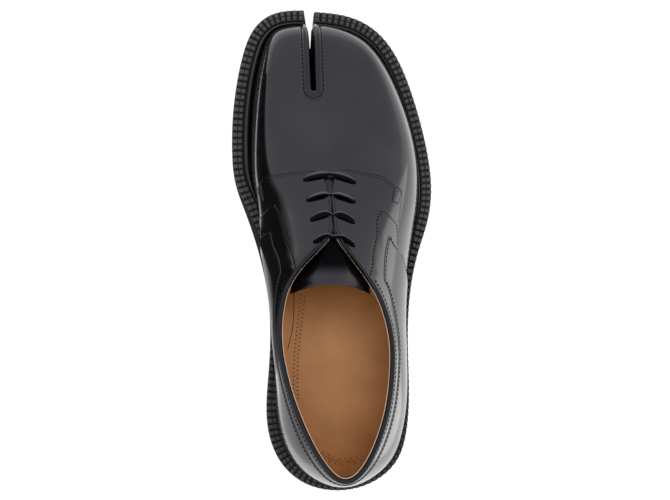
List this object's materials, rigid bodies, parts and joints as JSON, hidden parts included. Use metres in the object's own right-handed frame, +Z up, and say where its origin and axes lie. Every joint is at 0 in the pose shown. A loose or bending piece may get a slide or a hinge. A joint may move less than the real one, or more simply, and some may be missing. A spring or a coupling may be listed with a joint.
{
  "type": "split toe derby",
  "caption": "Hollow lace-up leather shoe for a right foot with a split between big toe and other toes, notched welt, low heel and open collar",
  "frame": {"origin": "on the floor, under the middle of the shoe's bounding box", "axes": "+Y runs from the heel to the toe, +X to the lateral (outer) side of this right shoe, +Z up"},
  "size_m": [0.1262, 0.2988, 0.0986],
  "materials": {
    "sole_rubber": "satin black rubber",
    "welt": "black notched leather",
    "insole_leather": "plain tan leather",
    "upper_leather": "polished black leather",
    "lace_cord": "waxed black cord"
  },
  "bodies": {
    "root": {"outsole": "sole_rubber", "heel": "sole_rubber", "welt": "welt", "insole": "insole_leather", "upper": "upper_leather", "tongue": "upper_leather", "facing_medial": "upper_leather", "facing_lateral": "upper_leather", "collar_panel": "upper_leather", "counter": "upper_leather", "lace_bar_1": "lace_cord", "lace_bar_2": "lace_cord", "lace_bar_3": "lace_cord", "lace_bar_4": "lace_cord"}
  },
  "joints": []
}
